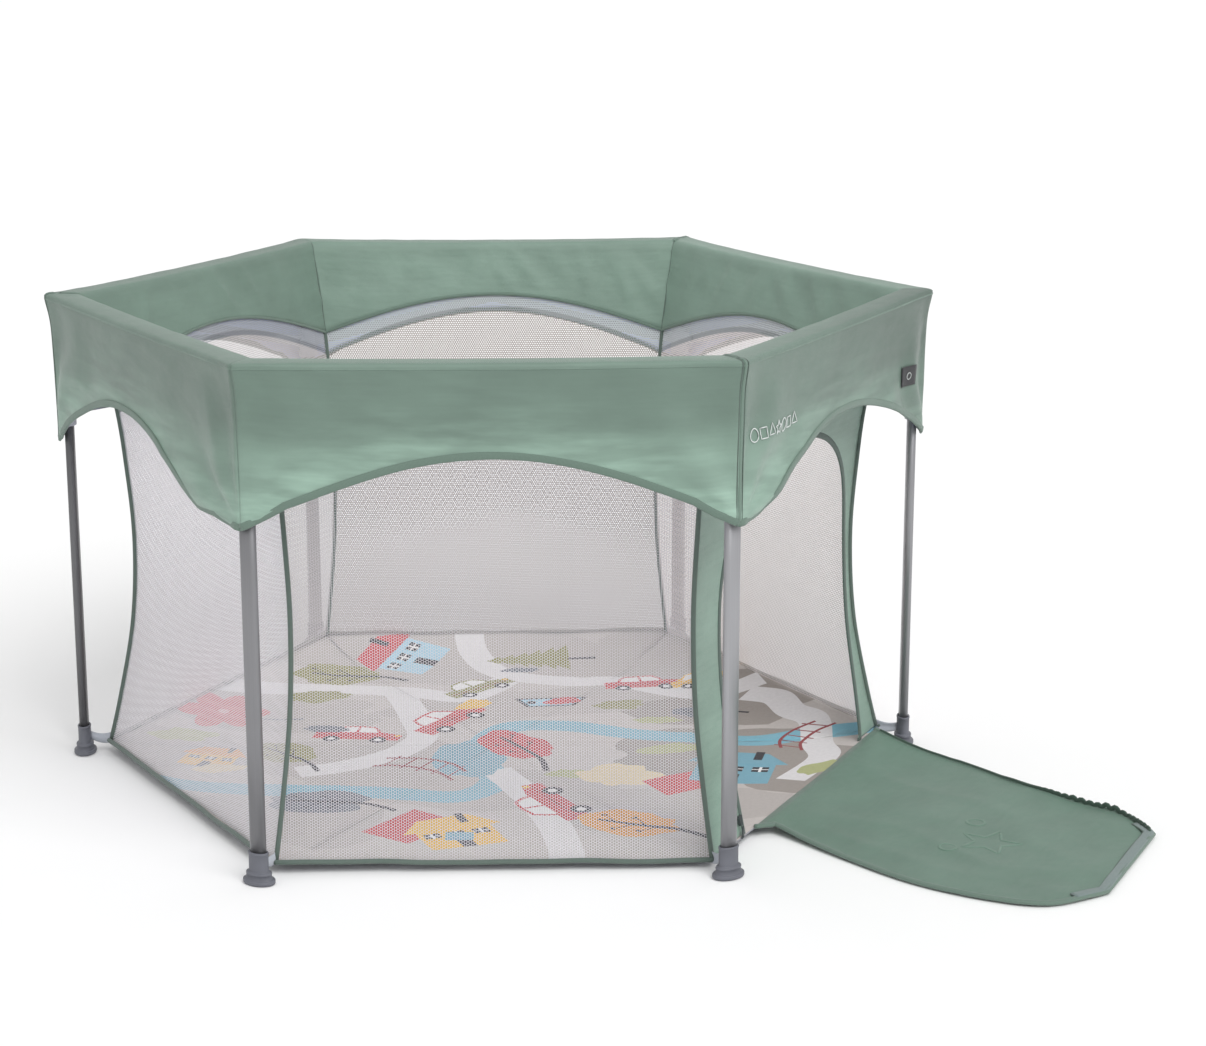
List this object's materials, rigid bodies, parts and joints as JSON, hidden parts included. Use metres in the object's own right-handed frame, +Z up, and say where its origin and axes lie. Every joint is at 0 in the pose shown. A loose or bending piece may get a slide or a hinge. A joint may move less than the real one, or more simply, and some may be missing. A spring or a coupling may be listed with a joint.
{
  "type": "folding playpen",
  "caption": "Folding fabric playpen: tubular legs on a scissor frame, padded top band, see-through mesh walls, printed floor and an arched zip door.",
  "frame": {"origin": "middle of the floor's underside, level with the undersides of the feet", "axes": "+Z up; +Y away from the front side; +X towards the right corner; the door side faces the front right"},
  "size_m": [1.6131, 1.2245, 0.72],
  "materials": {
    "leg_tube": "satin anodised",
    "bar_metal": "satin",
    "grey_plastic": "fine moulded grain",
    "slider_plastic": "fine moulded grain",
    "button_plastic": "fine moulded grain",
    "green_fabric": "coated polyester, soft sheen",
    "mesh_net": "fine knitted net",
    "floor_print": "printed polyester",
    "green_piping": "bound tape",
    "zip_metal": "painted",
    "tie_web": "thin webbing",
    "label_tag": "woven tag"
  },
  "bodies": {
    "leg_front_left": {"leg_front_left": "leg_tube", "foot_front_left": "grey_plastic", "hub_front_left": "grey_plastic", "top_band_front": "green_fabric", "mesh_wall_front": "mesh_net"},
    "slider_front_left": {"slider_front_left": "slider_plastic"},
    "leg_front_right": {"leg_front_right": "leg_tube", "foot_front_right": "grey_plastic", "hub_front_right": "grey_plastic", "top_band_door": "green_fabric", "mesh_wall_door": "mesh_net"},
    "slider_front_right": {"slider_front_right": "slider_plastic"},
    "leg_right": {"leg_right": "leg_tube", "foot_right": "grey_plastic", "hub_right": "grey_plastic", "top_band_back_right": "green_fabric", "mesh_wall_back_right": "mesh_net"},
    "slider_right": {"slider_right": "slider_plastic"},
    "leg_back_right": {"leg_back_right": "leg_tube", "foot_back_right": "grey_plastic", "hub_back_right": "grey_plastic", "top_band_back": "green_fabric", "mesh_wall_back": "mesh_net"},
    "slider_back_right": {"slider_back_right": "slider_plastic"},
    "leg_back_left": {"leg_back_left": "leg_tube", "foot_back_left": "grey_plastic", "hub_back_left": "grey_plastic", "top_band_back_left": "green_fabric", "mesh_wall_back_left": "mesh_net"},
    "slider_back_left": {"slider_back_left": "slider_plastic"},
    "leg_left": {"leg_left": "leg_tube", "foot_left": "grey_plastic", "hub_left": "grey_plastic", "top_band_front_left": "green_fabric", "mesh_wall_front_left": "mesh_net"},
    "slider_left": {"slider_left": "slider_plastic"},
    "outer_bar_front": {"outer_bar_front": "bar_metal"},
    "inner_bar_front": {"inner_bar_front": "bar_metal"},
    "gore_front": {"floor_gore_front": "floor_print"},
    "outer_bar_door": {"outer_bar_door": "bar_metal"},
    "inner_bar_door": {"inner_bar_door": "bar_metal"},
    "gore_door": {"floor_gore_door": "floor_print"},
    "outer_bar_back_right": {"outer_bar_back_right": "bar_metal"},
    "inner_bar_back_right": {"inner_bar_back_right": "bar_metal"},
    "gore_back_right": {"floor_gore_back_right": "floor_print"},
    "outer_bar_back": {"outer_bar_back": "bar_metal"},
    "inner_bar_back": {"inner_bar_back": "bar_metal"},
    "gore_back": {"floor_gore_back": "floor_print"},
    "outer_bar_back_left": {"outer_bar_back_left": "bar_metal"},
    "inner_bar_back_left": {"inner_bar_back_left": "bar_metal"},
    "gore_back_left": {"floor_gore_back_left": "floor_print"},
    "outer_bar_front_left": {"outer_bar_front_left": "bar_metal"},
    "inner_bar_front_left": {"inner_bar_front_left": "bar_metal"},
    "gore_front_left": {"floor_gore_front_left": "floor_print"},
    "door_leaf": {"door_leaf": "green_fabric"},
    "zip_slider": {"zip_slider": "zip_metal"},
    "zip_pull": {"zip_pull": "zip_metal"},
    "lock_button_front_right": {"lock_button_front_right": "button_plastic"},
    "lock_button_back_right": {"lock_button_back_right": "button_plastic"},
    "lock_button_left": {"lock_button_left": "button_plastic"}
  },
  "joints": [
    {"name": "fold", "type": "hinge", "parent": "leg_front_right", "child": "outer_bar_door", "pos_m": [0.33275, -0.52784, 0.692], "axis": [-0.866, 0.5, 0], "range_deg": [0, 71.28], "deforming": ["top_band_front", "mesh_wall_front", "floor_gore_front", "top_band_door", "mesh_wall_door", "floor_gore_door", "top_band_back_right", "mesh_wall_back_right", "floor_gore_back_right", "top_band_back", "mesh_wall_back", "floor_gore_back", "top_band_back_left", "mesh_wall_back_left", "floor_gore_back_left", "top_band_front_left", "mesh_wall_front_left", "floor_gore_front_left", "door_leaf"]},
    {"name": "inner_bar_door_cross", "type": "hinge", "parent": "outer_bar_door", "child": "inner_bar_door", "pos_m": [0.47813, -0.27605, 0.621], "axis": [-0.866, 0.5, 0], "range_deg": [-142.57, 0]},
    {"name": "leg_right_stays_upright", "type": "hinge", "parent": "inner_bar_door", "child": "leg_right", "pos_m": [0.6235, -0.02425, 0.692], "axis": [-0.866, 0.5, 0], "range_deg": [0, 71.3]},
    {"name": "slider_right_runs", "type": "hinge", "parent": "outer_bar_door", "child": "slider_right", "pos_m": [0.6235, -0.02425, 0.55], "axis": [-0.866, 0.5, 0], "range_deg": [-71.3, 0]},
    {"name": "outer_bar_back_right_swing", "type": "hinge", "parent": "leg_right", "child": "outer_bar_back_right", "pos_m": [0.6235, 0.02425, 0.692], "axis": [-0.866, -0.5, 0], "range_deg": [0, 71.3]},
    {"name": "inner_bar_back_right_cross", "type": "hinge", "parent": "outer_bar_back_right", "child": "inner_bar_back_right", "pos_m": [0.47813, 0.27605, 0.621], "axis": [-0.866, -0.5, 0], "range_deg": [-142.57, 0]},
    {"name": "leg_back_right_stays_upright", "type": "hinge", "parent": "inner_bar_back_right", "child": "leg_back_right", "pos_m": [0.33275, 0.52784, 0.692], "axis": [-0.866, -0.5, 0], "range_deg": [0, 71.3]},
    {"name": "slider_back_right_runs", "type": "hinge", "parent": "outer_bar_back_right", "child": "slider_back_right", "pos_m": [0.33275, 0.52784, 0.55], "axis": [-0.866, -0.5, 0], "range_deg": [-71.3, 0]},
    {"name": "outer_bar_back_swing", "type": "hinge", "parent": "leg_back_right", "child": "outer_bar_back", "pos_m": [0.29075, 0.55209, 0.692], "axis": [0, -1, 0], "range_deg": [0, 71.3]},
    {"name": "inner_bar_back_cross", "type": "hinge", "parent": "outer_bar_back", "child": "inner_bar_back", "pos_m": [0, 0.55209, 0.621], "axis": [0, -1, 0], "range_deg": [-142.57, 0]},
    {"name": "leg_back_left_stays_upright", "type": "hinge", "parent": "inner_bar_back", "child": "leg_back_left", "pos_m": [-0.29075, 0.55209, 0.692], "axis": [0, -1, 0], "range_deg": [0, 71.3]},
    {"name": "slider_back_left_runs", "type": "hinge", "parent": "outer_bar_back", "child": "slider_back_left", "pos_m": [-0.29075, 0.55209, 0.55], "axis": [0, -1, 0], "range_deg": [-71.3, 0]},
    {"name": "outer_bar_back_left_swing", "type": "hinge", "parent": "leg_back_left", "child": "outer_bar_back_left", "pos_m": [-0.33275, 0.52784, 0.692], "axis": [0.866, -0.5, 0], "range_deg": [0, 71.3]},
    {"name": "inner_bar_back_left_cross", "type": "hinge", "parent": "outer_bar_back_left", "child": "inner_bar_back_left", "pos_m": [-0.47813, 0.27605, 0.621], "axis": [0.866, -0.5, 0], "range_deg": [-142.57, 0]},
    {"name": "inner_bar_front_swing", "type": "hinge", "parent": "leg_front_right", "child": "inner_bar_front", "pos_m": [0.29075, -0.55209, 0.692], "axis": [0, 1, 0], "range_deg": [-71.3, 0]},
    {"name": "outer_bar_front_cross", "type": "hinge", "parent": "inner_bar_front", "child": "outer_bar_front", "pos_m": [0, -0.55209, 0.621], "axis": [0, 1, 0], "range_deg": [0, 142.57]},
    {"name": "leg_front_left_stays_upright", "type": "hinge", "parent": "outer_bar_front", "child": "leg_front_left", "pos_m": [-0.29075, -0.55209, 0.692], "axis": [0, 1, 0], "range_deg": [-71.3, 0]},
    {"name": "slider_front_left_runs", "type": "hinge", "parent": "inner_bar_front", "child": "slider_front_left", "pos_m": [-0.29075, -0.55209, 0.55], "axis": [0, 1, 0], "range_deg": [0, 71.3]},
    {"name": "inner_bar_front_left_swing", "type": "hinge", "parent": "leg_front_left", "child": "inner_bar_front_left", "pos_m": [-0.33275, -0.52784, 0.692], "axis": [0.866, 0.5, 0], "range_deg": [-71.3, 0]},
    {"name": "outer_bar_front_left_cross", "type": "hinge", "parent": "inner_bar_front_left", "child": "outer_bar_front_left", "pos_m": [-0.47813, -0.27605, 0.621], "axis": [0.866, 0.5, 0], "range_deg": [0, 142.57]},
    {"name": "leg_left_stays_upright", "type": "hinge", "parent": "outer_bar_front_left", "child": "leg_left", "pos_m": [-0.6235, -0.02425, 0.692], "axis": [0.866, 0.5, 0], "range_deg": [-71.3, 0]},
    {"name": "slider_left_runs", "type": "hinge", "parent": "inner_bar_front_left", "child": "slider_left", "pos_m": [-0.6235, -0.02425, 0.55], "axis": [0.866, 0.5, 0], "range_deg": [0, 71.3]},
    {"name": "slider_front_right_runs", "type": "hinge", "parent": "inner_bar_door", "child": "slider_front_right", "pos_m": [0.33275, -0.52784, 0.55], "axis": [-0.866, 0.5, 0], "range_deg": [0, 71.3]},
    {"name": "gore_front_lifts", "type": "hinge", "parent": "leg_front_left", "child": "gore_front", "pos_m": [0, -0.5199, 0.003], "axis": [1, 0, 0], "range_deg": [0, 83.23]},
    {"name": "gore_door_lifts", "type": "hinge", "parent": "leg_front_right", "child": "gore_door", "pos_m": [0.45025, -0.25995, 0.003], "axis": [0.5, 0.866, 0], "range_deg": [0, 83.23]},
    {"name": "gore_back_right_lifts", "type": "hinge", "parent": "leg_right", "child": "gore_back_right", "pos_m": [0.45025, 0.25995, 0.003], "axis": [-0.5, 0.866, 0], "range_deg": [0, 83.23]},
    {"name": "gore_back_lifts", "type": "hinge", "parent": "leg_back_right", "child": "gore_back", "pos_m": [0, 0.5199, 0.003], "axis": [-1, 0, 0], "range_deg": [0, 83.23]},
    {"name": "gore_back_left_lifts", "type": "hinge", "parent": "leg_back_left", "child": "gore_back_left", "pos_m": [-0.45025, 0.25995, 0.003], "axis": [-0.5, -0.866, 0], "range_deg": [0, 83.23]},
    {"name": "gore_front_left_lifts", "type": "hinge", "parent": "leg_left", "child": "gore_front_left", "pos_m": [-0.45025, -0.25995, 0.003], "axis": [0.5, -0.866, 0], "range_deg": [0, 83.23]},
    {"name": "door", "type": "hinge", "parent": "leg_front_right", "child": "door_leaf", "pos_m": [0.4512, -0.2605, 0.002], "axis": [-0.5, -0.866, 0], "range_deg": [0, 92]},
    {"name": "zip_travel", "type": "slide", "parent": "leg_front_right", "child": "zip_slider", "axis": [-0.1845, 0.1065, 0.977], "range_m": [0, 0.05]},
    {"name": "zip_pull_swing", "type": "hinge", "parent": "zip_slider", "child": "zip_pull", "pos_m": [0.34836, -0.43899, 0.0296], "axis": [-0.5, -0.866, 0], "range_deg": [0, 80]},
    {"name": "lock_button_front_right_press", "type": "slide", "parent": "slider_front_right", "child": "lock_button_front_right", "axis": [-0.5, 0.866, 0], "range_m": [0, 0.002], "stiffness_N_per_m": 600},
    {"name": "lock_button_back_right_press", "type": "slide", "parent": "slider_back_right", "child": "lock_button_back_right", "axis": [-0.5, -0.866, 0], "range_m": [0, 0.002], "stiffness_N_per_m": 600},
    {"name": "lock_button_left_press", "type": "slide", "parent": "slider_left", "child": "lock_button_left", "axis": [1, 0, 0], "range_m": [0, 0.002], "stiffness_N_per_m": 600}
  ],
  "couplings": [
    {"joint": "inner_bar_door_cross", "follows": "fold", "ratio": -2},
    {"joint": "leg_right_stays_upright", "follows": "fold", "ratio": 1},
    {"joint": "slider_right_runs", "follows": "fold", "ratio": -1},
    {"joint": "outer_bar_back_right_swing", "follows": "fold", "ratio": 1},
    {"joint": "inner_bar_back_right_cross", "follows": "fold", "ratio": -2},
    {"joint": "leg_back_right_stays_upright", "follows": "fold", "ratio": 1},
    {"joint": "slider_back_right_runs", "follows": "fold", "ratio": -1},
    {"joint": "outer_bar_back_swing", "follows": "fold", "ratio": 1},
    {"joint": "inner_bar_back_cross", "follows": "fold", "ratio": -2},
    {"joint": "leg_back_left_stays_upright", "follows": "fold", "ratio": 1},
    {"joint": "slider_back_left_runs", "follows": "fold", "ratio": -1},
    {"joint": "outer_bar_back_left_swing", "follows": "fold", "ratio": 1},
    {"joint": "inner_bar_back_left_cross", "follows": "fold", "ratio": -2},
    {"joint": "inner_bar_front_swing", "follows": "fold", "ratio": -1},
    {"joint": "outer_bar_front_cross", "follows": "fold", "ratio": 2},
    {"joint": "leg_front_left_stays_upright", "follows": "fold", "ratio": -1},
    {"joint": "slider_front_left_runs", "follows": "fold", "ratio": 1},
    {"joint": "inner_bar_front_left_swing", "follows": "fold", "ratio": -1},
    {"joint": "outer_bar_front_left_cross", "follows": "fold", "ratio": 2},
    {"joint": "leg_left_stays_upright", "follows": "fold", "ratio": -1},
    {"joint": "slider_left_runs", "follows": "fold", "ratio": 1},
    {"joint": "slider_front_right_runs", "follows": "fold", "ratio": 1},
    {"joint": "gore_front_lifts", "follows": "fold", "ratio": 1.1674},
    {"joint": "gore_door_lifts", "follows": "fold", "ratio": 1.1674},
    {"joint": "gore_back_right_lifts", "follows": "fold", "ratio": 1.1674},
    {"joint": "gore_back_lifts", "follows": "fold", "ratio": 1.1674},
    {"joint": "gore_back_left_lifts", "follows": "fold", "ratio": 1.1674},
    {"joint": "gore_front_left_lifts", "follows": "fold", "ratio": 1.1674}
  ]
}
